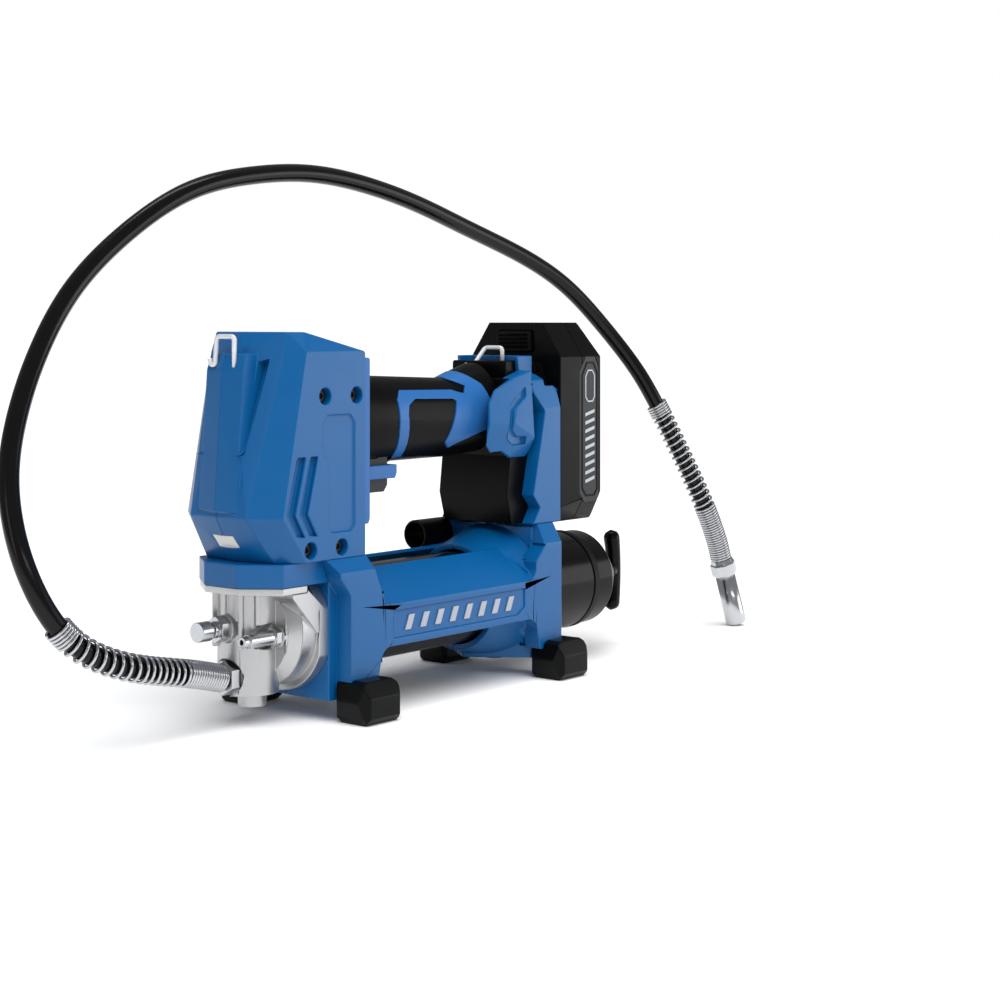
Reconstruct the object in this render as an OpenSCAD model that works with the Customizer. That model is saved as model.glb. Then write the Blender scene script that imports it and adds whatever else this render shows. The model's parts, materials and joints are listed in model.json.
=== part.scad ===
// Cordless grease gun: front motor tower, frame around a grease barrel, bar grip,
// rear tower with a slide-on battery, cast pump head and a whip hose with a coupler.
// Stations along x are counted from the front edge of the front feet, z from the floor.

/* [Frame] */
// Half-width over the frame's side faces
frame_y = 45; // [42:0.5:48]
// Rear face of the rear posts
frame_end = 194; // [192:1:196]
// Bottom of the side rails
rail_low = 38.5; // [36:0.5:42]
// Top of the side rails' flat faces
rail_high = 62.5; // [60:0.5:64]
// Wall thickness of the moulded shells
wall = 4; // [3:0.5:4]

/* [Tower] */
// Half-width of the front tower
tower_y = 38; // [37:0.5:40]
// Bottom of the front tower
tower_low = 91; // [90:0.5:92]
// Rear face of the front tower
tower_back = 21; // [20:0.5:22]

/* [Barrel] */
// Height of the barrel's axis
barrel_z = 51; // [50:0.5:52]
// Outer radius of the barrel tube
barrel_r = 28.5; // [28:0.25:28.5]
// Radius of the barrel's end cap
cap_r = 32; // [31:0.5:33]
// Radius of the plunger rod
rod_r = 4; // [3:0.25:5]

/* [Gears] */
// Gear module
gear_m = 0.8; // [0.8:0.1:0.8]
// Teeth of both pinions
pinion_teeth = 12; // [12:1:12]
// Teeth of the idler wheel
idler_teeth = 34; // [34:1:34]
// Teeth of the crank gear
crank_teeth = 40; // [40:1:40]
// Throw of the crank pin
crank_throw = 2.5; // [2:0.5:2.5]

/* [Hose] */
// Outer diameter of the hose
hose_d = 11; // [9:0.5:12]
// Outer diameter of the spring guards
guard_d = 15.5; // [14:0.5:16]
// Diameter of the coupler's sleeve
coupler_d = 15; // [14:0.5:16]

/* [Hidden] */

mid_x = 123;
frame_joint = 140;
blue = [0.13, 0.35, 0.62];
light_blue = [0.22, 0.45, 0.75];
black = [0.05, 0.05, 0.06];
grey = [0.35, 0.35, 0.37];
metal = [0.75, 0.76, 0.78];
chrome = [0.85, 0.86, 0.88];
slack = 0.05;
far = 400;

// Front tower outline, one list per level: [x, half-width]
tower_base = [[-44, 0], [-39, 27], [-26, tower_y], [tower_back, tower_y]];
tower_belt = [[-57, 0], [-56, 22], [-43.5, tower_y], [tower_back, tower_y]];
tower_brow = [[-44, 0], [-34, 29], [-25.5, tower_y], [tower_back, tower_y]];
tower_roof = [[-38, 0], [-31, 28], [-23, 34]];
belt_z = 116;
brow_z = 206;
roof_z = 217;

motor_x = -8;
crank_x = -21;
gear_c1 = gear_m * (pinion_teeth + idler_teeth) / 2;
gear_c2 = gear_m * (pinion_teeth + crank_teeth) / 2;
shaft_gap = motor_x - crank_x;
idler_dx = (gear_c2 * gear_c2 - gear_c1 * gear_c1 - shaft_gap * shaft_gap) / (2 * shaft_gap);
idler_x = motor_x + idler_dx;
idler_y = sqrt(gear_c1 * gear_c1 - idler_dx * idler_dx);
motor_to_idler = atan2(idler_y, idler_x - motor_x);
idler_to_crank = atan2(-idler_y, crank_x - idler_x);
yoke_half = 2 * crank_throw + 5.2;
stage1_z = 112;
stage2_z = 103;
gear_w = 6;
plunger_z = 55;

leg_low = 19;
web_r = 8;
foot_front_x = 14;
foot_rear_x = 189;
foot_y = 47.5;
outlet_z = 28;
outlet_x = -45;
cap_x = 197;
cap_end = 300;
holder_end = 190;
holder_y = 40;
holder_z = 86;
holder_r = 9.5;
holder_bore_r = 7.9;

// Whip hose route: leaves the pump head forwards, arches back over the tool and
// comes down to the coupler, whose mouth rests on the floor.
route = [
    [outlet_x - 8, 0, outlet_z], [-80, 0, 35], [-110, 0, 40], [-140, 0, 50], [-160, 5, 65],
    [-175, 15, 100], [-170, 35, 140], [-155, 45, 175], [-135, 55, 205], [-110, 60, 240],
    [-75, 60, 270], [-30, 55, 300], [20, 55, 310], [70, 55, 315], [120, 55, 310],
    [170, 55, 300], [220, 55, 285], [270, 50, 270], [310, 40, 250], [340, 30, 220],
    [360, 15, 190], [370, 5, 165], [385, -5, 130], [400, -15, 95], [415, -20, 60],
    [420, -20, 40]
];
near_guard = [0, 4];
far_guard = [21, 24];

function smooth(a, b, c, d, t) = 0.5 * (2 * b + (c - a) * t
    + (2 * a - 5 * b + 4 * c - d) * t * t + (3 * b - a - 3 * c + d) * t * t * t);
function route_at(i, t) = smooth(route[max(i - 1, 0)], route[i], route[i + 1],
    route[min(i + 2, len(route) - 1)], t);
function stretch(first, last, n) = concat(
    [for (i = [first:last - 1]) for (k = [0:n - 1]) route_at(i, k / n)], [route[last]]);
function unit(v) = v / norm(v);
function ring(p, way, r, n) = let (side = unit(cross(way, [0, 1, 0])), up = cross(side, way))
    [for (k = [0:n - 1]) p + r * cos(360 * k / n) * side + r * sin(360 * k / n) * up];

module placed() {
    translate([-mid_x, 0, 0]) children();
}

// Outline in x and z, carried from y0 to y1
module side_prism(points, y0, y1) {
    translate([0, y1, 0]) rotate([90, 0, 0]) linear_extrude(y1 - y0) polygon(points);
}

// Outline in y and z, carried from x0 to x1
module cross_prism(points, x0, x1) {
    translate([x0, 0, 0]) rotate([90, 0, 90]) linear_extrude(x1 - x0) polygon(points);
}

module plan_prism(points, z0, z1) {
    translate([0, 0, z0]) linear_extrude(z1 - z0) polygon(points);
}

module box(low, high) {
    translate(low) cube(high - low);
}

// Round bar along x
module bar_x(x0, x1, y, z, r, fn = 48) {
    translate([x0, y, z]) rotate([0, 90, 0]) cylinder(h = x1 - x0, r = r, $fn = fn);
}

module bar_y(x, y0, y1, z, r, fn = 32) {
    translate([x, y1, z]) rotate([90, 0, 0]) cylinder(h = y1 - y0, r = r, $fn = fn);
}

module bar_z(x, y, z0, z1, r, fn = 48) {
    translate([x, y, z0]) cylinder(h = z1 - z0, r = r, $fn = fn);
}

module hex_x(x0, x1, y, z, across) {
    translate([x0, y, z]) rotate([0, 90, 0]) cylinder(h = x1 - x0, d = across / cos(30), $fn = 6);
}

// Convex solid around a list of corners
module crystal(points) {
    hull() polyhedron(points, [for (i = [0:len(points) - 3]) [i, i + 1, i + 2]]);
}

module left_half() {
    intersection() {
        children();
        box([-far, -far, -1], [far, 0, far]);
    }
}

module both_sides() {
    children();
    mirror([0, 1, 0]) children();
}

function level(outline, z) = [for (s = [-1, 1]) for (p = outline) [p[0], s * p[1], z]];

module swept(points, r, sides) {
    last = len(points) - 1;
    ways = [for (i = [0:last]) unit(points[min(i + 1, last)] - points[max(i - 1, 0)])];
    rings = [for (i = [0:last]) each ring(points[i], ways[i], r, sides)];
    walls = [for (i = [0:last - 1]) for (k = [0:sides - 1]) let (a = i * sides, j = (k + 1) % sides)
        [a + k, a + j, a + sides + j, a + sides + k]];
    ends = [[for (k = [sides - 1:-1:0]) k], [for (k = [0:sides - 1]) last * sides + k]];
    polyhedron(rings, concat(walls, ends));
}

// Spur gear with a tooth pointing along angle turn
module gear(teeth, h, turn) {
    r = gear_m * teeth / 2;
    tooth = 360 / teeth;
    rotate([0, 0, turn]) linear_extrude(h) polygon([for (i = [0:teeth - 1])
        for (p = [[-0.34, r - gear_m * 1.15], [-0.15, r + gear_m * 0.8],
            [0.15, r + gear_m * 0.8], [0.34, r - gear_m * 1.15]])
        p[1] * [cos((i + p[0]) * tooth), sin((i + p[0]) * tooth)]]);
}

// ---- Front tower ----

module tower_form() {
    crystal(concat(level(tower_base, tower_low), level(tower_belt, belt_z),
        level(tower_brow, brow_z), level(tower_roof, roof_z), level([[tower_back - 3, 34]], brow_z + 1)));
    crystal(concat(level([[-48, 14], [-50, 0], [-30, 14]], 205), level([[-50.5, 15], [-53, 0]], 196),
        level([[-56.5, 15], [-58.5, 0], [-35, 15]], belt_z + 3)));
}

// Wedge-shaped slot beside the spine
module spine_slot() {
    crystal([[-60, -14.8, 203], [-33, -14.8, 200], [-60, -22, 205], [-34.5, -21, 202],
        [-60, -14.8, 150], [-50.5, -14.8, 150], [-60, -16, 150]]);
}

module vent_slot(top, bend, low) {
    side_prism([top, top + [6, 0], bend + [6.5, -0.5], low + [6.5, -1], low, bend], -far, -tower_y + 3);
}

module tower_left() {
    left_half() difference() {
        tower_form();
        difference() {
            intersection() {
                side_prism([[-38, tower_low + wall], [-44, belt_z], [-29.5, 196], [-25, 208], [17, 201],
                    [17, tower_low + wall]], -tower_y + wall, tower_y - wall);
                plan_prism([[-44, -15], [-32, -30], [-20, -tower_y + wall], [17, -tower_y + wall], [17, 0],
                    [-44, 0]], tower_low, roof_z);
            }
            for (s = tower_screw_places) bar_y(s[0], -far, -22, s[1], 6.5);
        }
        spine_slot();
        side_prism([[-9, 109], [-6, 106], [9.5, 106], [12.5, 109], [12.5, 167], [9, 171],
            [-9, 171], [-13, 166], [-13, 150], [-9, 146]], -far, -tower_y + 1.3);
        vent_slot([-32, 148.7], [-40.5, 118], [-33, 106]);
        vent_slot([-22.5, 148.7], [-31, 118], [-23.5, 106]);
        for (s = tower_screw_places) {
            bar_y(s[0], -far, -tower_y + screw_sink, s[1], 4.6);
            bar_y(s[0], -far, 0, s[1], 1.6);
        }
        bar_z(crank_x, 0, tower_low - 1, tower_low + wall + 1, 6);
        for (s = [-1, 1]) bar_z(-50, s * 7, 197, 230, 1.4);
    }
}

screw_sink = 6;
tower_screw_places = [[-11, 181.6], [14, 181.6], [-22, 97.5], [2.3, 97.5]];

module tower_shell_left() {
    color(blue) placed() difference() {
        tower_left();
        lamp_body();
    }
}

module tower_shell_right() {
    color(blue) placed() difference() {
        mirror([0, 1, 0]) tower_left();
        lamp_body();
    }
}

// Lamp lens set into the nose facet
module lamp_body() {
    translate([-49.5, 0, 102.5]) rotate([0, 27.5, 0])
        cross_prism([[-9.5, -3.2], [6.5, -3.2], [9.5, 3.2], [-6.5, 3.2]], -3, 3);
}

module led_lens() {
    color([0.8, 0.8, 0.78]) placed() intersection() {
        lamp_body();
        crystal(concat(level(tower_base, tower_low), level(tower_belt, belt_z), [[tower_back, 0, belt_z]]));
    }
}

module tower_rear_cover() {
    color(light_blue) placed() difference() {
        intersection() {
            side_prism([[tower_back, 108], [29, 108], [35, 120], [35, 195],
                [30, 202], [tower_back, 203]], -33, 33);
            plan_prism([[tower_back, -33], [30, -33], [35, -28], [35, 28],
                [30, 33], [tower_back, 33]], 100, 210);
        }
        side_prism([[tower_back - 1, 112], [31, 121], [31, 196], [tower_back - 1, 199]], -29, 29);
        box([30, -12, 145], [36, 12, 185]);
    }
}

module tower_screws() {
    color(grey) placed() both_sides() for (s = tower_screw_places) difference() {
        union() {
            bar_y(s[0], -tower_y + screw_sink - 2.4, -tower_y + screw_sink, s[1], 3.6);
            bar_y(s[0], -tower_y + screw_sink - 0.1, -20, s[1], 1.6);
        }
        bar_y(s[0], -far, -tower_y + screw_sink - 1, s[1], 1.6, 6);
    }
}

// Neck between the tower and the pump head
collar_plan = [[-54, -13], [-39, -33.6], [-4, -33.6], [-4, 33.6], [-39, 33.6], [-54, 13]];

module collar_form() {
    plan_prism(collar_plan, 78, tower_low);
}

module nose_collar() {
    color(blue) placed() difference() {
        collar_form();
        bar_z(crank_x, 0, 70, 100, 6);
        bar_x(-16, 0, 0, barrel_z, barrel_r + 0.8, 96);
    }
}

// ---- Frame ----

// Rounded web in a corner between a post and the rail; sx and sz point away from the corner
module corner_web(x, z, sx, sz) {
    difference() {
        box([min(x, x + sx * web_r), -frame_y, min(z, z + sz * web_r)],
            [max(x, x + sx * web_r), -33, max(z, z + sz * web_r)]);
        bar_y(x + sx * web_r, -50, -30, z + sz * web_r, web_r);
    }
}

module frame_left_form() {
    // Front bulkhead and post
    box([-4, -33.6, 12], [22, 0, tower_low]);
    side_prism([[2, leg_low], [2, 71], [-6, 81], [-6, 84], [22, 84], [28, 70], [28, rail_low - 3],
        [24, leg_low]],
        -frame_y, -33);
    crystal([[-6, -frame_y, 84], [22, -frame_y, 84], [-10, -tower_y, 91], [22, -tower_y, 91],
        [-6, -30, 84], [22, -30, 84], [-10, -30, 91], [22, -30, 91]]);
    // Rail with its slanted top
    cross_prism([[-frame_y, rail_low], [-frame_y, rail_high], [-21.5, 81.5], [-19.5, 79.5],
        [-frame_y + wall, 61], [-frame_y + wall, rail_low]], 20, 176);
    // Rear post, bulkhead and shelf
    side_prism([[172, leg_low], [168, rail_low - 2], [168, 74], [178, 84], [frame_end, 84],
        [frame_end, leg_low]],
        -frame_y, -33);
    box([176, -34.6, 12], [frame_end, 0, 94]);
    crystal([[176, -frame_y, 84], [frame_end, -frame_y, 84], [178, -tower_y, 96], [frame_end, -tower_y, 96],
        [176, -20, 84], [frame_end, -20, 84], [178, -20, 96], [frame_end, -20, 96]]);
    corner_web(28, rail_high, 1, 1);
    corner_web(27, rail_low, 1, -1);
    corner_web(168, rail_high, -1, 1);
    corner_web(168.5, rail_low, -1, -1);
    // Flared collar round the barrel and the rear web
    translate([142, 0, barrel_z]) rotate([0, 90, 0]) cylinder(h = 34.5, r1 = 33, r2 = 43, $fn = 64);
    plan_prism([[150, 0], [176, -34], [176, 0]], 12, 20);
}

module foot_spigot(x, r) {
    bar_z(x, -foot_y + 5, 8, leg_low + 1, r);
}

module frame_half() {
    difference() {
        union() {
            left_half() frame_left_form();
            foot_spigot(foot_front_x, 6);
            foot_spigot(foot_rear_x - 2, 6);
        }
        bar_x(-20, 220, 0, barrel_z, barrel_r + 0.8, 96);
        side_prism([[37, 43], [150, 43], [156.6, 47], [156.6, 58.3], [37, 58.3]], -far, -frame_y + 1);
        collar_form();
    }
}

module frame_left() {
    color(blue) placed() frame_half();
}

// The far half is two mouldings that meet ahead of the collar
module frame_right() {
    color(blue) placed() intersection() {
        mirror([0, 1, 0]) frame_half();
        box([-20, -1, 0], [frame_joint, 60, 100]);
    }
}

module frame_right_rear() {
    color(blue) placed() difference() {
        mirror([0, 1, 0]) frame_half();
        box([-20, -1, 0], [frame_joint, 60, 100]);
        bar_x(140, 200, holder_y, holder_z, holder_r);
    }
}

// Raised plain bars that fill the recess of each rail
module name_plates() {
    color(metal) placed() both_sides() for (i = [0:7])
        side_prism([[47 + 13 * i, 46.5], [52 + 13 * i, 46.5], [55.5 + 13 * i, 55], [50.5 + 13 * i, 55]],
            -frame_y + 0.2, -frame_y + 1);
}

module foot(x, side) {
    color(black) placed() scale([1, side, 1]) translate([x, foot_y, 0]) difference() {
        intersection() {
            side_prism([[-14, 3], [-12.4, 0], [12.4, 0], [14, 3], [15.5, 12.6], [13, 22], [10, 24],
                [-10, 24], [-14, 22], [-16.5, 12.6]], -12.5, 12.5);
            cross_prism([[-12.5, 4], [-9.5, 0], [9, 0], [12.5, 4], [12.5, 15], [8, 24],
                [-12.5, 24]], -20, 20);
            plan_prism([[-17, -9], [-13, -12.5], [13, -12.5], [17, -9], [17, 6], [12, 12.5], [-12, 12.5],
                [-17, 6]], 0, 30);
        }
        bar_z(x == foot_rear_x ? -2 : 0, -5, 8, leg_low + 1, 6);
        box(x == foot_rear_x ? [-20, -20, leg_low] : [2 - x, -20, leg_low],
            x == foot_rear_x ? [frame_end - x, frame_y - foot_y, 30] : [26 - x, frame_y - foot_y, 30]);
    }
}

module foot_front_left() { foot(foot_front_x, -1); }
module foot_front_right() { foot(foot_front_x, 1); }
module foot_rear_left() { foot(foot_rear_x, -1); }
module foot_rear_right() { foot(foot_rear_x, 1); }

// ---- Rear tower ----

cheek_outline = [[-25, 201], [-25, 190], [-33, 186], [-tower_y, 168], [-tower_y, 96], [0, 96], [0, 201]];

module rear_cheek() {
    left_half() difference() {
        union() {
            intersection() {
                cross_prism(cheek_outline, 160, 202);
                side_prism([[174, 96], [181, 106], [174, 114], [186, 166], [178, 178], [174, 201], [189, 201],
                    [189, 190], [202, 180], [202, 96]], -tower_y, 0);
            }
            intersection() {
                side_prism([[139, 147], [143, 142], [152, 142.5], [160, 138], [176, 138], [180, 150],
                    [178, 192], [164, 188], [146, 180], [141, 172]], -tower_y, 0);
                crystal([[137, -26, 130], [137, -30, 160], [137, -26, 195], [178, -26, 130], [178, -36, 150],
                    [178, -33, 195], [160, -34, 160], [137, 0, 130], [178, 0, 130], [137, 0, 195],
                        [178, 0, 195]]);
            }
        }
        box([190.5, -34, 90], [203, 1, 230]);
        box([130, -28, 90], [184, 1, 187]);
        box([130, -22, 186], [184, 1, 202]);
        side_prism([[155, 150], [160, 146], [171, 146], [171, 151], [163, 151], [159, 155], [161, 168],
            [172, 176], [172, 182], [158, 171]], -far, -31.5);
        for (s = [-1, 1]) bar_z(181, s * 7, 180, 210, 1.4);
    }
}

module rear_cheek_left() {
    color(blue) placed() rear_cheek();
}

module rear_cheek_right() {
    color(blue) placed() mirror([0, 1, 0]) rear_cheek();
}

module dock_form() {
    box([157.9, -28, 96], [184, 28, 187]);
    box([166, -22, 186], [184, 22, 198]);
}

module battery_dock() {
    color(black) placed() difference() {
        intersection() {
            dock_form();
            side_prism([[165, 96], [160, 114], [163, 139], [157.9, 150], [157.9, 188], [168, 199], [184, 199],
                [184, 96]], -30, 30);
        }
        box([168, -24, 100], [182, 24, 182]);
        for (s = [-1, 1]) bar_z(181, s * 7, 180, 210, 1.4);
    }
}

module dock_rail() {
    color(black) placed() difference() {
        union() {
            box([190.5, -19.5, 100], [195.2, 19.5, 190]);
            box([195, -24, 100], [199, 24, 190]);
        }
        for (y = [-15:7.5:15]) box([196.5, y - 1.2, 112], [199.5, y + 1.2, 150]);
    }
}

module dock_contacts() {
    color([0.8, 0.6, 0.25]) placed() for (y = [-15:7.5:15]) box([196.5, y - 0.5, 114], [198.6, y + 0.5, 140]);
}

// ---- Grip ----

grip_stations = [[33, 166, 26, 17], [60, 165, 26, 18.5], [100, 164, 25, 18.5], [128, 163.5, 24.5, 18],
    [150, 168, 27, 21], [166, 170, 29, 25]];

// One rounded section of the grip: centre height, half-height, half-width
module grip_ring(s, grow) {
    translate([s[0], 0, s[1]]) rotate([90, 0, 90]) linear_extrude(0.5) scale([s[3] + grow, s[2] + grow])
        circle(1, $fn = 32);
}

module grip_form(grow) {
    hull() for (s = [grip_stations[0], grip_stations[1], grip_stations[2], grip_stations[3]])
        grip_ring(s, grow);
    hull() for (s = [grip_stations[3], grip_stations[4], grip_stations[5]]) grip_ring(s, grow);
    hull() {
        grip_ring([33, 164, 28, 14], grow);
        grip_ring([60, 162, 27, 14], grow);
        grip_ring([78, 160, 21.5, 12], grow);
    }
}

trim_outline = [[76, 130], [71.5, 158], [71, 176], [76, 182], [124, 181], [133, 178.5], [136, 183],
    [128, 187],
    [126, 195], [136, 195], [148, 184], [152, 172], [153, 160], [150, 156], [121, 145.5], [116, 149],
        [125, 174],
    [122, 175.5], [87, 176.5], [80.5, 173], [79, 168], [83, 130]];

module trim_ribbon() {
    difference() {
        side_prism(trim_outline, -far, far);
        box([40, -9, 100], [170, 9, 182]);
    }
}

module grip_left_form() {
    left_half() difference() {
        intersection() {
            grip_form(0);
            box([35, -40, 120], [157.9, 40, 200]);
        }
        difference() {
            trim_ribbon();
            grip_form(-2);
        }
        side_prism([[30, 150], [30, 182], [150, 180], [150, 150]], -13, 13);
        box([43, -9, 120], [75, 9, 152]);
    }
}

module grip_left() {
    color(black) placed() grip_left_form();
}

module grip_right() {
    color(black) placed() mirror([0, 1, 0]) grip_left_form();
}

module grip_trim_form() {
    left_half() intersection() {
        difference() {
            trim_ribbon();
            grip_form(-2);
        }
        grip_form(0.7);
        box([40, -40, 120], [157.9, 40, 200]);
    }
}

module grip_trim_left() {
    color(light_blue) placed() grip_trim_form();
}

module grip_trim_right() {
    color(light_blue) placed() mirror([0, 1, 0]) grip_trim_form();
}

// Switch bezel under the front of the grip
module trigger_bezel() {
    color(light_blue) placed() difference() {
        side_prism([[41, 130], [74.5, 130], [76, 133], [76, 138], [41, 138]], -12, 12);
        box([44, -8.4, 129], [73, 8.4, 139]);
        grip_form(0.05);
    }
}

module trigger() {
    color(grey) placed() difference() {
        side_prism([[46, 124], [49, 122], [69, 122], [72, 126], [72, 144], [46, 144]], -8, 8);
        bar_z(59, 0, 136, 145, 4.5);
    }
}

module trigger_spring() {
    color(metal) placed() difference() {
        bar_z(59, 0, 136, 154, 4);
        bar_z(59, 0, 135, 155, 2.8);
    }
}

module switch_block() {
    color(grey) placed() box([45, -10, 154], [75, 10, 174]);
}

// ---- Battery ----

battery_front = 203;
battery_split = 226;
battery_back = 250;

module battery_form() {
    crystal(concat(
        level([[battery_front, 28], [246, 28]], 94), level([[battery_front, 37], [battery_back, 30]], 104),
        level([[battery_front, 37], [battery_back, 30], [246, 37]], 112),
        level([[battery_front, 37], [246, 37]], 200), level([[battery_back, 30]], 202),
        level([[battery_front, 22], [240, 22]], 222)));
}

module battery_base() {
    color(black) placed() difference() {
        union() {
            intersection() {
                battery_form();
                box([battery_front, -40, 90], [battery_split, 40, 230]);
            }
            box([191, -33, 96.4], [battery_front, 33, 165]);
            crystal([[191, -33, 165], [191, 33, 165], [battery_front, -33, 165], [battery_front, 33, 165],
                [196, -20, 196], [196, 20, 196], [battery_front, -20, 196], [battery_front, 20, 196]]);
        }
        box([190, -20, 90], [195.1, 20, 190.5]);
        box([194.6, -24.5, 90], [199.5, 24.5, 190.5]);
        battery_panel_form(1.2);
        box([battery_front - 1, -14.2, 203], [battery_front + 6, 14.2, 217]);
        box([207, -30, 104], [battery_split + 1, 30, 202]);
    }
}

module battery_lid() {
    color(black) placed() difference() {
        battery_form();
        box([190, -40, 90], [battery_split, 40, 230]);
        battery_panel_form(1.2);
        box([battery_split - 1, -30, 104], [245, 30, 202]);
    }
}

module battery_panel_form(depth) {
    both_sides() side_prism([[223, 112], [228, 106], [240, 106], [244, 111], [244, 192], [240, 200],
        [230, 200],
        [223, 190]], -37, -37 + depth);
}

module battery_panels() {
    color(grey) placed() battery_panel_form(1.2);
}

module battery_latch() {
    color(black) placed() difference() {
        box([battery_front - 2, -14, 203.2], [battery_front + 2.5, 14, 216.8]);
        for (z = [205.5:2.6:215]) box([battery_front - 3, -12, z], [battery_front - 1.2, 12, z + 1.2]);
    }
}

// ---- Pump head and its fittings ----

module pump_head() {
    color(metal) placed() difference() {
        union() {
            intersection() {
                union() {
                    bar_x(-11, -4, 0, barrel_z, 35.5, 96);
                    bar_x(-22, -10, 0, barrel_z, 31.5, 96);
                    translate([-28, 0, barrel_z]) rotate([0, 90, 0])
                        cylinder(h = 6.01, r1 = 26, r2 = 31, $fn = 96);
                    side_prism([[-31, 78], [-22, 78], [-4, 62], [-4, 51], [-12, 51], [-31, 72]], -33, 33);
                }
                box([-40, -33.2, 10], [0, 33.2, 78]);
            }
            bar_z(-33, 0, 18, 76, 17, 64);
            plan_prism([[-53.5, -12.7], [-38.7, -33.2], [-20, -33.2], [-20, 33.2], [-38.7, 33.2],
                [-53.5, 12.7]], 74, 78);
            bar_x(outlet_x, -20, 0, outlet_z, 10.5);
            bar_z(-30, 0, 10, 20, 8);
            bar_x(-52, -40, 0, plunger_z, 8);
            bar_x(-31, -26, -20, 50, 6);
            for (a = [-62, -34, 34, 62]) translate([-33, 0, 40]) rotate([0, 0, a])
                box([-20, -1.3, 4], [0, 1.3, 35]);
            box([-52, -1.5, 62], [-33, 1.5, 75]);
            box([-47, -9, 18], [-30, 9, 30]);
        }
        bar_x(-15, 0, 0, barrel_z, barrel_r + slack, 96);
        box([-36, -9, 48.5], [-7, 9, 61.5]);
        bar_x(-53, -30, 0, plunger_z, 4 + 3 * slack);
        bar_x(-70, -40, 0, outlet_z, 4.5);
        bar_z(-42, 0, outlet_z, plunger_z, 2);
        bar_z(crank_x, 0, 61, 80, 5 + slack);
        bar_x(-40, -24, -20, 50, 2.5);
        bar_x(-60, -31, -20, 50, 7.5);
        bar_x(-60, outlet_x, 0, outlet_z, 10.2);
    }
}

module outlet_nut() {
    color(chrome) placed() difference() {
        union() {
            hex_x(outlet_x - 8, outlet_x, 0, outlet_z, 17);
            bar_x(outlet_x, outlet_x + 5, 0, outlet_z, 4.5);
        }
        bar_x(-80, 0, 0, outlet_z, 2.5);
    }
}

module bleeder_body() {
    color(chrome) placed() difference() {
        union() {
            hex_x(-58, -52, 0, plunger_z, 13);
            bar_x(-61, -58, 0, plunger_z, 4.5);
            bar_x(-52, -50, 0, plunger_z, 4);
        }
        bar_x(-62, -54, 0, plunger_z, 2.5 + slack);
    }
}

module bleeder_knob() {
    color(chrome) placed() union() {
        bar_x(-71, -63, 0, plunger_z, 5.5);
        bar_x(-63.1, -55, 0, plunger_z, 2.5);
        hex_x(-66, -62, 0, plunger_z, 9);
    }
}

module filler_nipple() {
    color(chrome) placed() difference() {
        union() {
            hex_x(-35, -31, -20, 50, 10);
            bar_x(-53, -34.9, -20, 50, 4);
            bar_x(-57, -52.9, -20, 50, 3);
            bar_x(-31.1, -25, -20, 50, 2.5);
        }
        bar_x(-58, -40, -20, 50, 1.4);
    }
}

// ---- Drive ----

module motor_can() {
    color(grey) placed() difference() {
        bar_z(motor_x, 0, 126, 194, 18, 64);
        bar_z(motor_x, 0, 128, 192, 16, 64);
        bar_z(motor_x, 0, 120, 200, 1.6 + slack);
    }
}

module motor_rotor() {
    color(metal) placed() union() {
        bar_z(motor_x, 0, 118, 197, 1.6);
        bar_z(motor_x, 0, 136, 180, 14);
        bar_z(motor_x, 0, 179.9, 188, 6);
    }
}

module motor_pinion() {
    color(metal) placed() translate([motor_x, 0, stage1_z]) gear(pinion_teeth, gear_w, motor_to_idler);
}

module gear_plate() {
    color(metal) placed() difference() {
        plan_prism([[-36, -22], [-29, -29], [-20, -33], [14, -33], [16, -30], [16, 30], [14, 33], [-20, 33],
            [-29, 29], [-36, 22]], 120.5, 126);
        bar_z(motor_x, 0, 110, 130, 8);
        bar_z(idler_x, idler_y, 110, 130, 2.5 + slack);
    }
}

module idler_gear() {
    color(metal) placed() translate([idler_x, idler_y, 0]) union() {
        translate([0, 0, stage1_z]) gear(idler_teeth, gear_w, motor_to_idler + 180 + 180 / idler_teeth);
        translate([0, 0, stage2_z]) gear(pinion_teeth, gear_w, idler_to_crank);
        bar_z(0, 0, stage2_z - 5, 125, 2.5);
        bar_z(0, 0, stage2_z + gear_w - 0.1, stage1_z + 0.1, 3.5);
    }
}

module crank_gear() {
    color(metal) placed() translate([crank_x, 0, 0]) union() {
        translate([0, 0, stage2_z]) gear(crank_teeth, gear_w, idler_to_crank + 180 + 180 / crank_teeth);
        bar_z(0, 0, 62, stage2_z + 0.1, 5);
        bar_z(0, crank_throw, 50, 62.1, 2);
    }
}

module pump_plunger() {
    color(metal) placed() difference() {
        union() {
            box([crank_x - yoke_half, -8, 50.5], [crank_x + yoke_half, 8, 60.5]);
            bar_x(-47, crank_x - yoke_half + 0.1, 0, plunger_z, 4);
        }
        box([crank_x - yoke_half + 2.2, -5.6, 49], [crank_x + yoke_half - 2.2, 5.6, 62]);
    }
}

// ---- Barrel ----

module barrel_tube() {
    color(black) placed() difference() {
        bar_x(-14.5, cap_x + 6, 0, barrel_z, barrel_r, 96);
        bar_x(-20, cap_x + 10, 0, barrel_z, barrel_r - 1.5, 96);
    }
}

module barrel_cap() {
    color(black) placed() translate([0, 0, barrel_z]) rotate([0, 90, 0]) rotate_extrude($fn = 96) polygon([
        [rod_r + slack, cap_end - 12], [rod_r + slack, cap_end], [9, cap_end], [12, cap_end - 8],
        [20, 283], [27, 274], [cap_r - 1, 268], [cap_r - 1, 253], [cap_r - 2.5, 252], [cap_r - 2.5, 247],
        [cap_r, 246], [cap_r, cap_x], [barrel_r, cap_x], [barrel_r, cap_x + 6], [barrel_r - 2, cap_x + 6],
        [barrel_r - 2, 266], [9, cap_end - 12]]);
}

module cap_band() {
    color([0.02, 0.02, 0.02]) placed() difference() {
        bar_x(247, 252, 0, barrel_z, cap_r + 0.3, 96);
        bar_x(246, 253, 0, barrel_z, cap_r - 2.5, 96);
    }
}

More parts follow.
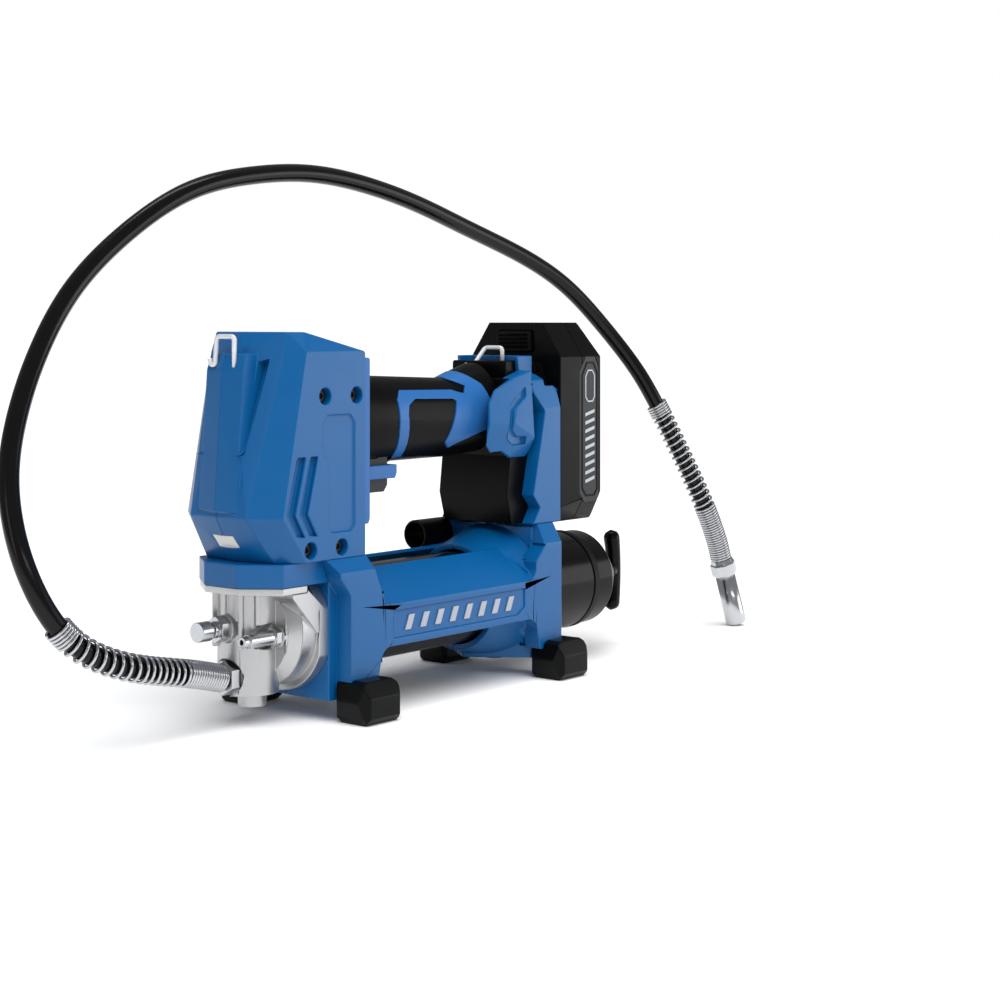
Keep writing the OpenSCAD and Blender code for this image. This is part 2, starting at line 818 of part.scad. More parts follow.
module plunger_rod() {
    color(chrome) placed() bar_x(14, 306, 0, barrel_z, rod_r);
}

module t_handle() {
    color(black) placed() difference() {
        union() {
            translate([311, 0, barrel_z]) rotate_extrude($fn = 48)
                polygon([[0, -27.5], [3, -27.5], [5, -26.2],
                [6, -23.5], [6, 23.5], [5, 26.2], [3, 27.5], [0, 27.5]]);
            bar_x(303, 312, 0, barrel_z, 5.5, 48);
        }
        bar_x(300, 306, 0, barrel_z, rod_r);
    }
}

module follower() {
    color(grey) placed() difference() {
        union() {
            bar_x(186, 190, 0, barrel_z, barrel_r - 1.5 - slack, 96);
            bar_x(189.9, 200, 0, barrel_z, 20);
        }
        bar_x(180, 210, 0, barrel_z, rod_r + slack);
    }
}

module follower_spring() {
    color(metal) placed() difference() {
        bar_x(200, 266, 0, barrel_z, 18);
        bar_x(199, 267, 0, barrel_z, 15);
    }
}

// ---- Wire hooks and the coupler holder ----

module wire_hook(x, z0, z1) {
    for (s = [-1, 1]) bar_z(x, s * 7, z0, z1 + 0.01, 1.4, 24);
    bar_y(x, -7, 7, z1, 1.4, 24);
    for (s = [-1, 1]) translate([x, s * 7, z1]) sphere(r = 1.4, $fn = 24);
}

module hook_front() {
    color(chrome) placed() wire_hook(-50, 197.5, 214.5);
}

module hook_rear() {
    color(chrome) placed() wire_hook(181, 182.5, 206);
}

module holder_tube() {
    color(black) placed() difference() {
        bar_x(150, holder_end, holder_y, holder_z, holder_r);
        bar_x(140, 200, holder_y, holder_z, holder_bore_r);
    }
}

// ---- Whip hose ----

module hose() {
    color(black) placed() swept(stretch(0, len(route) - 1, 2), hose_d / 2, 10);
}

module guard_near() {
    color(metal) placed() swept(stretch(near_guard[0], near_guard[1], 3), guard_d / 2, 12);
}

module guard_far() {
    color(metal) placed() swept(stretch(far_guard[0], far_guard[1], 2), guard_d / 2, 12);
}

coupler_tilt = 18;

module along_coupler() {
    translate([433, -23, 2.5]) rotate([0, -coupler_tilt, -12]) children();
}

module hose_ferrule() {
    color(chrome) placed() along_coupler() bar_z(0, 0, 38, 50, 7);
}

module coupler() {
    color(metal) placed() along_coupler() difference() {
        union() {
            bar_z(0, 0, 0, 30, coupler_d / 2);
            bar_z(0, 0, 29.9, 38, 6.5);
        }
        bar_z(0, 0, -1, 12, 4.9);
    }
}

tower_shell_left();
tower_shell_right();
tower_rear_cover();
nose_collar();
frame_left();
frame_right();
frame_right_rear();
rear_cheek_left();
rear_cheek_right();
grip_left();
grip_right();
grip_trim_left();
grip_trim_right();
battery_dock();
dock_rail();
dock_contacts();
battery_base();
battery_lid();
battery_panels();
battery_latch();
trigger();
trigger_bezel();
trigger_spring();
switch_block();
led_lens();
tower_screws();
name_plates();
pump_head();
outlet_nut();
bleeder_body();
bleeder_knob();
filler_nipple();
motor_can();
motor_rotor();
motor_pinion();
gear_plate();
idler_gear();
crank_gear();
pump_plunger();
barrel_tube();
barrel_cap();
cap_band();
plunger_rod();
t_handle();
follower();
follower_spring();
hook_front();
hook_rear();
holder_tube();
foot_front_left();
foot_front_right();
foot_rear_left();
foot_rear_right();
hose();
guard_near();
guard_far();
hose_ferrule();
coupler();
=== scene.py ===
"""Looks of the cordless grease gun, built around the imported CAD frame. Metres, row frame."""
import json
import math

import bpy
import numpy as np
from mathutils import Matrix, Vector


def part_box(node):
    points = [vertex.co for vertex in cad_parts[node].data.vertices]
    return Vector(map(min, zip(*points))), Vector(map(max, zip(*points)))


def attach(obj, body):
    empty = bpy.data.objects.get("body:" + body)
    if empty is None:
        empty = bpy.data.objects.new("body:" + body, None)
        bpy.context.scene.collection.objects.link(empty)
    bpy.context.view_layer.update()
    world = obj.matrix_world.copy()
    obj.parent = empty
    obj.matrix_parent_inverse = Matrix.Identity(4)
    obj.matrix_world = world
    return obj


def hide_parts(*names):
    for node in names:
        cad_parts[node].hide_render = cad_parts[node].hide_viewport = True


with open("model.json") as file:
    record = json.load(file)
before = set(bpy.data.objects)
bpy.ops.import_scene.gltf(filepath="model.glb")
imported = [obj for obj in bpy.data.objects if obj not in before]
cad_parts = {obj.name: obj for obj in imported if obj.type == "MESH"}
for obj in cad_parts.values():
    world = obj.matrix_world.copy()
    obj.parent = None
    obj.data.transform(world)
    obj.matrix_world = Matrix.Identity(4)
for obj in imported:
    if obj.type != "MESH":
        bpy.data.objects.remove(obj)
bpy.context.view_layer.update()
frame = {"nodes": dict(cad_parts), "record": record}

MM = 0.001
CAD_ORIGIN_X = 123        # mm, where the row frame's origin lies in the CAD's own millimetres

CAMERA_AT = (-0.895, -0.783, 0.223)
CAMERA_TURN = -50.78      # degrees; it looks along +Y and turns towards +X
CAMERA_SENSOR = 36        # mm
CAMERA_LENS = 69.4        # mm
CAMERA_SHIFT = -0.179     # the horizon is above the middle of the picture
FLOOR_R = 40.0
FLOOR_DEEP = 0.05

# The whip hose's route: the points that the CAD lists, in the CAD's own millimetres
ROUTE_MM = [
    (-53, 0, 28), (-80, 0, 35), (-110, 0, 40), (-140, 0, 50), (-160, 5, 65),
    (-175, 15, 100), (-170, 35, 140), (-155, 45, 175), (-135, 55, 205), (-110, 60, 240),
    (-75, 60, 270), (-30, 55, 300), (20, 55, 310), (70, 55, 315), (120, 55, 310),
    (170, 55, 300), (220, 55, 285), (270, 50, 270), (310, 40, 250), (340, 30, 220),
    (360, 15, 190), (370, 5, 165), (385, -5, 130), (400, -15, 95), (415, -20, 60),
    (420, -20, 40)]
NEAR_GUARD_END = 4        # the route point where the guard at the pump head ends
FAR_GUARD_START = 21      # and the one where the guard at the coupler begins
HOSE_D = 0.011
GUARD_D = 0.0155


def cad_point(x, y, z):
    """A place given in the CAD's own millimetres."""
    return (x - CAD_ORIGIN_X) * MM, y * MM, z * MM


ROUTE = [cad_point(*point) for point in ROUTE_MM]


# ---- Meshes ----

def new_object(name, vertices, faces, smooth=True):
    """A mesh object in the scene, from lists of places and of faces."""
    mesh = bpy.data.meshes.new(name)
    mesh.from_pydata([tuple(v) for v in vertices], [], faces)
    mesh.validate()
    mesh.polygons.foreach_set("use_smooth", [smooth] * len(mesh.polygons))
    mesh.update()
    obj = bpy.data.objects.new(name, mesh)
    bpy.context.scene.collection.objects.link(obj)
    return obj


def lathe(name, profile, sides=64, axis=(0, 0, 1), base=(0, 0, 0), closed=False):
    """A turned piece. profile is a list of (distance along the axis, radius)."""
    way = Vector(axis).normalized()
    side = way.orthogonal().normalized()
    other = way.cross(side)
    vertices, faces, count = [], [], len(profile)
    for reach, radius in profile:
        for k in range(sides):
            a = 2 * math.pi * k / sides
            spoke = side * math.cos(a) + other * math.sin(a)
            vertices.append(Vector(base) + way * reach + spoke * radius)
    for i in range(count if closed else count - 1):
        j = (i + 1) % count
        for k in range(sides):
            m = (k + 1) % sides
            faces.append((i * sides + k, i * sides + m, j * sides + m, j * sides + k))
    if not closed:
        faces.append(tuple(range(sides - 1, -1, -1)))
        faces.append(tuple((count - 1) * sides + k for k in range(sides)))
    return new_object(name, vertices, faces)


# ---- Camera, floor and light ----

def make_camera():
    """The photograph's view: a level camera low beside the front of the tool."""
    data = bpy.data.cameras.new("camera")
    data.lens = CAMERA_LENS
    data.sensor_width = CAMERA_SENSOR
    data.shift_y = CAMERA_SHIFT
    data.clip_start = 0.01
    camera = bpy.data.objects.new("camera", data)
    camera.location = CAMERA_AT
    camera.rotation_euler = (math.radians(90), 0, math.radians(CAMERA_TURN))
    bpy.context.scene.collection.objects.link(camera)
    bpy.context.scene.camera = camera


def make_stage():
    """A white floor, wide enough that its edge meets the white background near the horizon."""
    floor = lathe("floor", [(-FLOOR_DEEP, FLOOR_R), (0, FLOOR_R), (0, 1.0), (0, 0.0001)], sides=96)
    floor.data.shade_flat()     # smoothing over the rim would darken the floor far away
    floor.data.materials.append(make_material("floor", (0.97, 0.97, 0.972), rough=0.8, change=0.01,
                                              scale=6, bump=0.0, specular=0.0))


def area_light(name, place, target, size, power):
    data = bpy.data.lights.new(name, "AREA")
    data.shape = "RECTANGLE"
    data.size, data.size_y = size
    data.energy = power
    light = bpy.data.objects.new(name, data)
    light.location = place
    light.rotation_euler = (Vector(target) - Vector(place)).to_track_quat("-Z", "Y").to_euler()
    bpy.context.scene.collection.objects.link(light)


def sun_light(name, way, strength, spread):
    """A very wide soft sun. It lights without mirroring its disc in glossy parts."""
    data = bpy.data.lights.new(name, "SUN")
    data.energy = strength
    data.angle = math.radians(spread)
    light = bpy.data.objects.new(name, data)
    light.rotation_euler = Vector(way).to_track_quat("-Z", "Y").to_euler()
    light.visible_glossy = False
    bpy.context.scene.collection.objects.link(light)


def make_world():
    """A pale studio: bright where it is seen, dimmer as a source, so that dark parts stay dark."""
    world = bpy.data.worlds.new("studio")
    world.use_nodes = True
    nodes, links = world.node_tree.nodes, world.node_tree.links
    seen = nodes["Background"]
    seen.inputs["Color"].default_value = (1, 1, 1, 1)
    seen.inputs["Strength"].default_value = 1.0
    source = nodes.new("ShaderNodeBackground")
    source.inputs["Color"].default_value = (0.97, 0.985, 1, 1)
    source.inputs["Strength"].default_value = 0.3
    path = nodes.new("ShaderNodeLightPath")
    mix = nodes.new("ShaderNodeMixShader")
    links.new(path.outputs["Is Camera Ray"], mix.inputs["Fac"])
    links.new(source.outputs["Background"], mix.inputs[1])
    links.new(seen.outputs["Background"], mix.inputs[2])
    links.new(mix.outputs["Shader"], nodes["World Output"].inputs["Surface"])
    bpy.context.scene.world = world


def make_lights():
    """A soft sun from above and in front, and four panels for the highlights."""
    make_world()
    bpy.context.scene.view_settings.view_transform = "Standard"
    centre = (0, 0, 0.12)
    sun_light("soft_sun", (0.3, 0.5, -1.0), 3.0, 60)
    area_light("side_panel", (1.5, -1.35, 0.35), centre, (1.5, 0.9), 9)
    area_light("strip_light", (-0.5, -1.6, 0.9), centre, (0.9, 0.12), 2.2)
    area_light("front_light", (-1.8, -0.1, 0.7), centre, (0.2, 0.9), 1.6)
    area_light("top_light", (0.1, 0.1, 1.6), centre, (1.0, 0.2), 4)


# ---- Materials ----

def make_material(name, colour, rough=0.4, rough_spread=0.08, metallic=0.0, change=0.08, scale=60,
                  grain=1400, bump=0.05, depth=0.0002, coat=0.0, coat_rough=0.1, specular=0.5,
                  stretch=(1, 1, 1)):
    """A procedural surface: mottled colour and gloss, and a fine moulded, cast or woven grain."""
    material = bpy.data.materials.new(name)
    material.use_nodes = True
    nodes, links = material.node_tree.nodes, material.node_tree.links
    shader = nodes["Principled BSDF"]
    shader.inputs["Metallic"].default_value = metallic
    shader.inputs["Specular IOR Level"].default_value = specular
    shader.inputs["Coat Weight"].default_value = coat
    shader.inputs["Coat Roughness"].default_value = coat_rough
    place = nodes.new("ShaderNodeTexCoord")
    mapping = nodes.new("ShaderNodeMapping")
    mapping.inputs["Scale"].default_value = stretch
    links.new(place.outputs["Object"], mapping.inputs["Vector"])

    broad = nodes.new("ShaderNodeTexNoise")
    broad.inputs["Scale"].default_value = scale
    broad.inputs["Detail"].default_value = 5
    links.new(mapping.outputs["Vector"], broad.inputs["Vector"])
    fine = nodes.new("ShaderNodeTexNoise")
    fine.inputs["Scale"].default_value = grain
    fine.inputs["Detail"].default_value = 3
    links.new(mapping.outputs["Vector"], fine.inputs["Vector"])

    tint = nodes.new("ShaderNodeMix")
    tint.data_type = "RGBA"
    tint.inputs["A"].default_value = (*[c * (1 - change) for c in colour], 1)
    tint.inputs["B"].default_value = (*[min(1, c * (1 + change)) for c in colour], 1)
    links.new(broad.outputs["Fac"], tint.inputs["Factor"])
    links.new(tint.outputs["Result"], shader.inputs["Base Color"])

    gloss = nodes.new("ShaderNodeMapRange")
    gloss.inputs["To Min"].default_value = max(0.02, rough - rough_spread)
    gloss.inputs["To Max"].default_value = rough + rough_spread
    links.new(broad.outputs["Fac"], gloss.inputs["Value"])
    links.new(gloss.outputs["Result"], shader.inputs["Roughness"])

    if bump:
        relief = nodes.new("ShaderNodeBump")
        relief.inputs["Strength"].default_value = bump
        relief.inputs["Distance"].default_value = depth
        links.new(fine.outputs["Fac"], relief.inputs["Height"])
        links.new(relief.outputs["Normal"], shader.inputs["Normal"])
    return material


def make_finishes():
    """Every finish, under the name that the record's material slots use."""
    return {
        "blue_plastic": make_material("blue_plastic", (0.0012, 0.088, 0.265), rough=0.34, change=0.04,
                                      grain=2200, bump=0.12, specular=0.36),
        "light_blue_plastic": make_material("light_blue_plastic", (0.016, 0.115, 0.345), rough=0.38,
                                            change=0.04, grain=2200, bump=0.12, specular=0.35),
        "black_plastic": make_material("black_plastic", (0.002, 0.002, 0.0022), rough=0.32, change=0.2,
                                       grain=1900, bump=0.2, specular=0.09),
        "grey_plastic": make_material("grey_plastic", (0.026, 0.027, 0.028), rough=0.42, change=0.1,
                                      grain=1900, bump=0.2, specular=0.22),
        "brass_contacts": make_material("brass_contacts", (0.75, 0.53, 0.22), rough=0.28, metallic=1.0,
                                        stretch=(1, 1, 0.1), grain=900),
        "steel": make_material("steel", (0.5, 0.5, 0.51), rough=0.3, metallic=1.0, grain=1200,
                               change=0.1, stretch=(0.2, 1, 1)),
        "lens": make_material("lens", (0.62, 0.62, 0.59), rough=0.12, change=0.08, coat=0.6, bump=0.08,
                              grain=500),
        "silver_paint": make_material("silver_paint", (0.36, 0.38, 0.44), rough=0.34, metallic=0.35,
                                      change=0.06, grain=3000, bump=0.1),
        "cast_aluminium": make_material("cast_aluminium", (0.52, 0.52, 0.525), rough=0.36,
                                        rough_spread=0.1, metallic=0.95, change=0.12, scale=45, grain=850,
                                        bump=0.3, depth=0.0003),
        "zinc_plated": make_material("zinc_plated", (0.54, 0.55, 0.57), rough=0.22, rough_spread=0.07,
                                     metallic=1.0, change=0.07, scale=90, grain=1500, bump=0.05),
        "hook_wire": make_material("hook_wire", (0.70, 0.71, 0.73), rough=0.32, metallic=0.3,
                                   change=0.06, scale=200, bump=0.08),
        "black_steel": make_material("black_steel", (0.006, 0.006, 0.008), rough=0.3, specular=0.3),
        "barrel_paint": make_material("barrel_paint", (0.0012, 0.0012, 0.0013), rough=0.2,
                                      rough_spread=0.05, change=0.2, specular=0.14, grain=260, bump=0.05),
        "band_rubber": make_material("band_rubber", (0.004, 0.004, 0.004), rough=0.5, change=0.2,
                                     grain=1300, bump=0.3, specular=0.15),
        "follower_rubber": make_material("follower_rubber", (0.02, 0.02, 0.02), rough=0.55),
        "foot_rubber": make_material("foot_rubber", (0.0016, 0.0018, 0.002), rough=0.3, change=0.25,
                                     grain=1300, bump=0.22, specular=0.12),
        "hose_rubber": make_material("hose_rubber", (0.002, 0.002, 0.0022), rough=0.2,
                                     rough_spread=0.06, change=0.2, grain=900, bump=0.08, specular=0.24),
    }


def paint(obj, slot):
    """Gives a piece the finish that is named after one of the record's material slots."""
    obj.data.materials.clear()
    obj.data.materials.append(FINISHES[slot])


# ---- CAD nodes: softened edges and the record's finishes ----

EDGE_ANGLE = 26            # degrees; flatter meetings are the facets of a curve
FACET_ANGLE = 9            # on the nodes that are built from flat facets
FACETED_NODES = ("tower_shell_left", "tower_shell_right", "rear_cheek_left", "rear_cheek_right",
                 "battery_base", "battery_lid", "nose_collar", "tower_rear_cover",
                 "foot_front_left", "foot_front_right", "foot_rear_left", "foot_rear_right")
HOLED_NODES = ("frame_left", "frame_right", "frame_right_rear")     # a flat with a recess in it
EDGE = {"blue_plastic": 0.7, "light_blue_plastic": 0.5, "black_plastic": 0.6, "grey_plastic": 0.4,
        "cast_aluminium": 0.5, "foot_rubber": 0.7, "zinc_plated": 0.3, "silver_paint": 0.2,
        "barrel_paint": 0.4, "steel": 0.25, "lens": 0.2}     # mm
PLAIN_EDGE = 0.3
WELD_WITHIN = 0.01 * MM


def soften(obj, width):
    """Rounds a CAD node's edges as it is drawn. Its mesh stays as the CAD made it."""
    angle = FACET_ANGLE if obj.name in FACETED_NODES else EDGE_ANGLE
    weld = obj.modifiers.new("weld", "WELD")
    weld.merge_threshold = WELD_WITHIN
    if obj.name not in HOLED_NODES:
        flat = obj.modifiers.new("merge_flats", "DECIMATE")
        flat.decimate_type = "DISSOLVE"
        flat.angle_limit = math.radians(1)
    bevel = obj.modifiers.new("edges", "BEVEL")
    bevel.width = width * MM
    bevel.segments = 2
    bevel.limit_method = "ANGLE"
    bevel.angle_limit = math.radians(angle)
    bevel.use_clamp_overlap = False
    bevel.miter_outer = "MITER_ARC"
    even = obj.modifiers.new("even_normals", "WEIGHTED_NORMAL")
    even.keep_sharp = False
    even.weight = 80


def dress_cad():
    """Gives every CAD node the finish that the record names for it."""
    for part in frame["record"]["subparts"]:
        node = frame["nodes"][part["node"]]
        slot = part["material_slot"]
        node.data.materials.clear()
        node.data.materials.append(FINISHES[slot])
        soften(node, EDGE.get(slot, PLAIN_EDGE))


# ---- Hose, spring guards and fittings ----

POINTS_PER_TURN = 20
GUARD_WIRE = 0.9 * MM      # half the wire's thickness
IN_FERRULE = 10.5          # mm of the hose's end, out of sight in the ferrule


def smooth_point(a, b, c, d, t):
    """A cubic B-spline between b and c: rounder at the listed points than the CAD's curve."""
    return ((1 - t) ** 3 * a + (3 * t ** 3 - 6 * t * t + 4) * b
            + (-3 * t ** 3 + 3 * t * t + 3 * t + 1) * c + t ** 3 * d) / 6


def route_line(first, last, steps):
    """Points along the route from one listed point to another."""
    points = [np.array(p, float) for p in ROUTE]
    points = [2 * points[0] - points[1], *points, 2 * points[-1] - points[-2]]
    line = [smooth_point(*points[i:i + 4], k / steps) for i in range(first, last) for k in range(steps)]
    return np.array(line + [smooth_point(*points[last - 1:last + 3], 1.0)])


def frames(line):
    """A side vector at each point that doesn't twist along the line."""
    ways = np.gradient(line, axis=0)
    ways /= np.linalg.norm(ways, axis=1)[:, None]
    side = np.cross(ways[0], (0.0, 1.0, 0.0))
    side /= np.linalg.norm(side)
    sides = []
    for way in ways:
        side = side - way * side.dot(way)
        side /= np.linalg.norm(side)
        sides.append(side)
    sides = np.array(sides)
    return ways, sides, np.cross(ways, sides)


def tube(name, line, radius, sides=12):
    """A closed tube along a line; radius is one number, or one for each point."""
    line = np.asarray(line, float)
    radius = np.broadcast_to(radius, len(line))
    _, side, other = frames(line)
    vertices = []
    for p, s, o, r in zip(line, side, other, radius):
        for k in range(sides):
            a = 2 * math.pi * k / sides
            vertices.append(p + r * (math.cos(a) * s + math.sin(a) * o))
    faces = [(i * sides + k, i * sides + (k + 1) % sides, (i + 1) * sides + (k + 1) % sides,
              (i + 1) * sides + k) for i in range(len(line) - 1) for k in range(sides)]
    faces += [tuple(range(sides - 1, -1, -1)), tuple((len(line) - 1) * sides + k for k in range(sides))]
    return new_object(name, vertices, faces)


def distance_along(line):
    """How far along the line each of its points is."""
    return np.concatenate([[0], np.cumsum(np.linalg.norm(np.diff(line, axis=0), axis=1))])


def coil(name, line, radius, wire, winding):
    """A wire wound on a line. winding lists (millimetres along the line, turns so far)."""
    _, side, other = frames(line)
    distance = distance_along(line)
    marks = np.array([mark for mark, _ in winding]) * MM
    turns = np.array([turn for _, turn in winding], float)
    turn_now = np.linspace(0, turns[-1], int(turns[-1] * POINTS_PER_TURN) + 1)
    places = np.interp(turn_now, turns, marks)

    def sample(values, place):
        return np.array([np.interp(place, distance, values[:, i]) for i in range(3)])

    points = []
    for turn, place in zip(turn_now, places):
        a = 2 * math.pi * turn
        spoke = math.cos(a) * sample(side, place) + math.sin(a) * sample(other, place)
        points.append(sample(line, place) + radius * spoke)
    return tube(name, points, wire, sides=8)


def make_hose(fittings):
    """The hose with its two wound guards. fittings, the coupler's pieces on its far end, is not used."""
    line = route_line(0, len(ROUTE) - 1, 10)
    hose = tube("whip_hose", line, HOSE_D / 2, sides=20)
    paint(hose, "hose_rubber")
    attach(hose, "frame")
    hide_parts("hose")

    # Each guard is wound close at its ends, and open or close in between as the hose needs
    reach = GUARD_D / 2 - GUARD_WIRE
    near = route_line(0, NEAR_GUARD_END, 12)
    end = distance_along(near)[-1] / MM
    near_coil = coil("near_guard_coil", near, reach, GUARD_WIRE,
                     [(1.0, 0), (28, 15), (32, 16), (60, 22.5), (end - 13, 30), (end - 9, 31), (end, 36)])
    paint(near_coil, "zinc_plated")
    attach(near_coil, "frame")
    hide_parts("guard_near")

    far = route_line(FAR_GUARD_START, len(ROUTE) - 1, 16)
    end = distance_along(far)[-1] / MM - IN_FERRULE
    far_coil = coil("far_guard_coil", far, reach, GUARD_WIRE,
                    [(0, 0), (9, 5), (13.5, 6), (end - 42, 20), (end - 38, 22), (end, 43)])
    paint(far_coil, "zinc_plated")
    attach(far_coil, "frame")
    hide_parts("guard_far")


# ---- Wire hooks, pull handle and battery marks ----

HOOK_WIRE = 1.4 * MM       # half the wire's thickness
HOOK_BEND = 2.6            # mm
HOOK_HALF = 7              # mm, half the loop's width


def rounded(corners, radius):
    """A path through corners, each turned with about that radius."""
    steps = 6
    corners = [np.array(c, float) for c in corners]
    path = [corners[0]]
    for before, here, after in zip(corners, corners[1:], corners[2:]):
        a, b = before - here, after - here
        cut = min(radius * MM, 0.45 * np.linalg.norm(a), 0.45 * np.linalg.norm(b))
        start, end = here + a / np.linalg.norm(a) * cut, here + b / np.linalg.norm(b) * cut
        for k in range(steps + 1):
            t = k / steps
            path.append((1 - t) ** 2 * start + 2 * t * (1 - t) * here + t * t * end)
    return np.array(path + [corners[-1]])


def wire_hook(name, node, x, low, high, lean):
    """A bent wire loop, in the CAD's millimetres. One leg is rooted in the shell, and the other
    ends in a small outward curl."""
    corners = [cad_point(x - lean, 11, low + 3.2), cad_point(x - lean, 10, low),
               cad_point(x - lean, HOOK_HALF - 0.2, low), cad_point(x, HOOK_HALF, high),
               cad_point(x, -HOOK_HALF, high), cad_point(x, -HOOK_HALF, low - 4)]
    hook = tube(name, rounded(corners, HOOK_BEND), HOOK_WIRE, sides=14)
    paint(hook, "hook_wire")
    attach(hook, "frame")
    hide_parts(node)


def make_hooks():
    """One hook on the front tower and one on the rear tower."""
    wire_hook("front_wire_hook", "hook_front", -50, 199, 214.5, 1.5)
    wire_hook("rear_wire_hook", "hook_rear", 181, 193, 206, 14)


def make_pull_handle():
    """The bar across the end of the follower's rod, thick at its ends."""
    low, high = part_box("t_handle")
    middle, half = (low.z + high.z) / 2, (high.z - low.z) / 2
    back, bow, thin, swell = 5.4 * MM, 3.4 * MM, 5.0 * MM, 0.9 * MM
    rings = 32
    line, radius = [], []
    for k in range(rings + 1):
        t = -1 + 2 * k / rings
        line.append((high.x - back - bow * t * t, 0, middle + half * t))
        body = thin + swell * t * t
        left = (1 - abs(t)) * half
        rounding = 1 - max(0, 1 - left / body) ** 2
        radius.append(body * math.sqrt(max(0.02, rounding)))
    handle = tube("pull_handle_bar", line, np.array(radius), sides=24)
    paint(handle, "barrel_paint")
    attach(handle, "rod")
    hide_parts("t_handle")
    hub = lathe("pull_handle_hub", [(0, 0.0042), (0, 0.0062), (0.001, 0.0068), (0.003, 0.0060),
                                    (0.006, 0.0052), (0.008, 0.0048)], sides=40, axis=(1, 0, 0),
                base=(low.x, 0, middle))
    paint(hub, "barrel_paint")
    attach(hub, "rod")


PLATE_EDGE = 0.15          # mm
BATTERY_SIDE = 36.9        # mm, the battery's side panels from the middle plane


def plates(name, outlines, y, thick, slot, body):
    """Flat raised shapes on a side face. Each outline lists (x, z) in the CAD's millimetres."""
    vertices, faces = [], []
    for outline in outlines:
        first, count = len(vertices), len(outline)
        for depth in (0, thick):
            vertices += [cad_point(x, y + math.copysign(depth, y), z) for x, z in outline]
        faces.append(tuple(first + k for k in range(count)))
        faces.append(tuple(first + count + k for k in range(count - 1, -1, -1)))
        faces += [(first + k, first + count + k, first + count + (k + 1) % count, first + (k + 1) % count)
                  for k in range(count)]
    obj = new_object(name, vertices, faces, smooth=False)
    edge = obj.modifiers.new("edges", "BEVEL")
    edge.width = PLATE_EDGE * MM
    edge.segments = 2
    paint(obj, slot)
    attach(obj, body)
    return obj


def strip(points, width):
    """Outlines of short flat bars that follow a closed path and overlap at its corners."""
    bars = []
    over = 0.2 * width
    for (x0, z0), (x1, z1) in zip(points, points[1:] + points[:1]):
        long = math.hypot(x1 - x0, z1 - z0)
        ux, uz = (x1 - x0) / long, (z1 - z0) / long
        nx, nz = -uz * width / 2, ux * width / 2
        x0, z0, x1, z1 = x0 - ux * over, z0 - uz * over, x1 + ux * over, z1 + uz * over
        bars.append([(x0 + nx, z0 + nz), (x1 + nx, z1 + nz), (x1 - nx, z1 - nz), (x0 - nx, z0 - nz)])
    return bars


def make_battery_marks():
    """A raised border and plain slanted strokes on the battery's two side panels."""
    border = [(226, 115), (230, 110), (239, 110), (242, 114),
              (242, 190), (238, 196), (231, 196), (226, 188)]
    badge = [(229.5, 174), (232, 171), (237, 171), (239, 174),
             (239, 188), (236.5, 191), (232, 191), (229.5, 187)]
    first_z, pitch, slant, high, front, back = 118, 5.4, 2.4, 2.2, 229, 239
    strokes = []
    for z in (first_z + pitch * k for k in range(9)):
        strokes.append([(front, z), (back, z + slant), (back, z + slant + high), (front, z + high)])
    for side, y in (("left", -BATTERY_SIDE), ("right", BATTERY_SIDE)):
        plates(f"battery_border_{side}", strip(border, 1.1), y, 0.5, "black_plastic", "battery")
        plates(f"battery_strokes_{side}", strokes, y, 0.45, "silver_paint", "battery")
        plates(f"battery_badge_{side}", strip(badge, 1.0), y, 0.45, "silver_paint", "battery")


MOUTH_DEEP = 6             # mm, from the coupler's mouth in to the place that the record gives


def coupler_line():
    """The coupler's axis, from its mouth to the hose, read off the bore of its mouth."""
    for mount in frame["record"]["mounts"]:
        if mount["name"] == "coupler_mouth":
            way = -np.array(mount["axis"], float)
            return np.array(mount["pos_m"], float) - way * MOUTH_DEEP * MM, way
    raise KeyError("coupler_mouth")


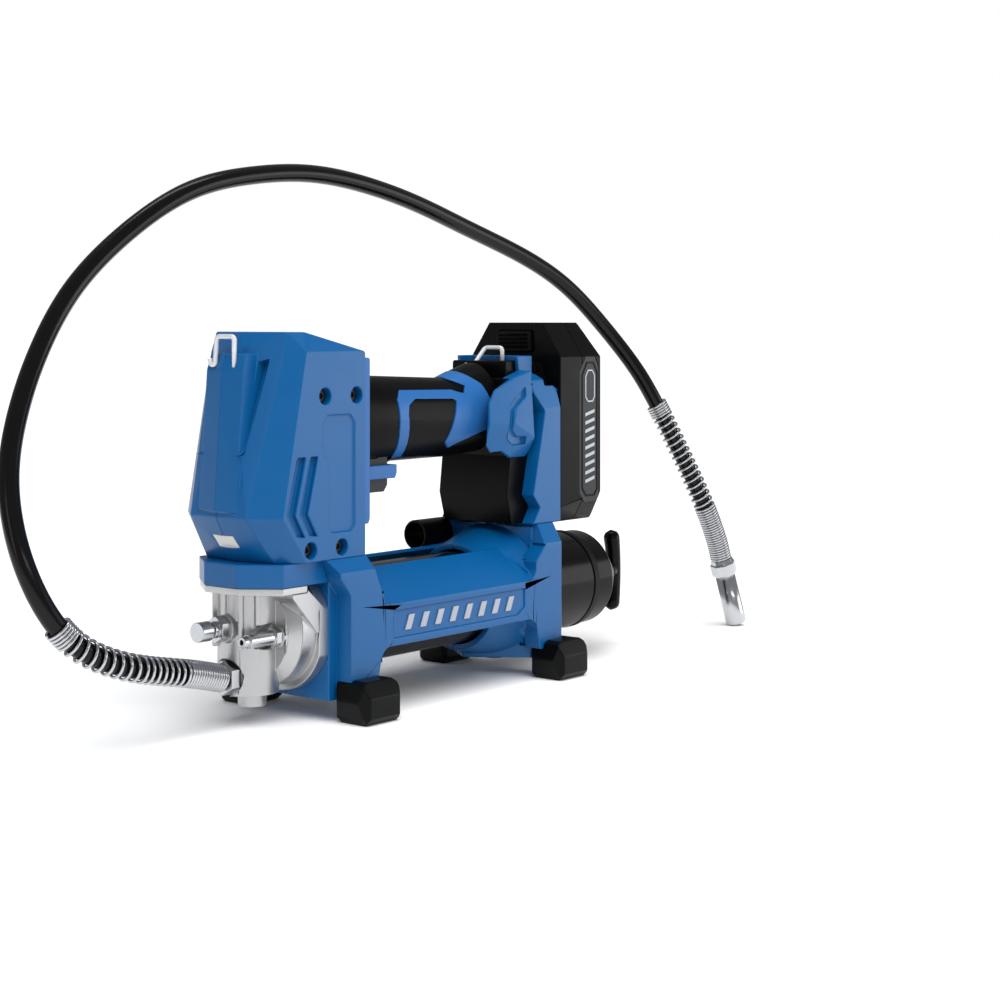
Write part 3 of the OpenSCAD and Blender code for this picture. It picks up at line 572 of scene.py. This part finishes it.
def make_coupler():
    """The coupler's sleeve, its four gripping jaws and the crimped ferrule behind it."""
    mouth, way = coupler_line()
    sleeve_end = 37.6
    sleeve = lathe("coupler_sleeve", [(reach * MM, r * MM) for reach, r in (
        (0.8, 5.4), (0.0, 6.0), (0.0, 6.6), (0.4, 7.1), (1.2, 7.4), (3, 7.5),
        (sleeve_end, 7.1), (sleeve_end, 6.6), (sleeve_end, 5.0), (3, 4.9), (1.6, 5.1))],
        sides=64, axis=way, base=mouth, closed=True)
    paint(sleeve, "zinc_plated")
    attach(sleeve, "frame")
    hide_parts("coupler")

    side = np.cross(way, (0.0, 1.0, 0.0))
    side /= np.linalg.norm(side)
    other = np.cross(way, side)
    vertices, faces = [], []
    for k in range(4):
        a, b = len(vertices), len(vertices) + 6      # the jaw's front ring, then its back ring
        for deep in (1.2, 11):
            for r in (2.6, 4.8):
                for turn in (-34, 0, 34):
                    angle = math.radians(90 * k + turn)
                    spoke = side * math.cos(angle) + other * math.sin(angle)
                    vertices.append(mouth + way * deep * MM + spoke * r * MM)
        faces += [(a, a + 1, a + 4, a + 3), (a + 1, a + 2, a + 5, a + 4), (b + 1, b, b + 3, b + 4),
                  (b + 2, b + 1, b + 4, b + 5), (a + 1, a, b, b + 1), (a + 2, a + 1, b + 1, b + 2),
                  (a + 3, a + 4, b + 4, b + 3), (a + 4, a + 5, b + 5, b + 4), (a, a + 3, b + 3, b),
                  (a + 5, a + 2, b + 2, b + 5)]
    jaw = new_object("coupler_jaws", vertices, faces, smooth=False)
    paint(jaw, "steel")
    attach(jaw, "frame")

    base = mouth + way * sleeve_end * MM
    ring = lathe("ferrule_crimp", [(reach * MM, r * MM) for reach, r in (
        (0, 5.2), (0, 8.3), (1.2, 9.2), (8.6, 9.3), (9.8, 8.6), (12.4, 7.6), (12.4, 5.2))],
        sides=8, axis=way, base=base, closed=True)
    edge = ring.modifiers.new("edges", "BEVEL")
    edge.width = 0.25 * MM
    edge.segments = 2
    ring.data.polygons.foreach_set("use_smooth", [False] * len(ring.data.polygons))
    paint(ring, "zinc_plated")
    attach(ring, "frame")
    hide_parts("hose_ferrule")
    return [sleeve, jaw, ring]


FINISHES = make_finishes()
make_camera()
make_hose(make_coupler())
make_stage()
make_lights()
dress_cad()
make_hooks()
make_pull_handle()
make_battery_marks()
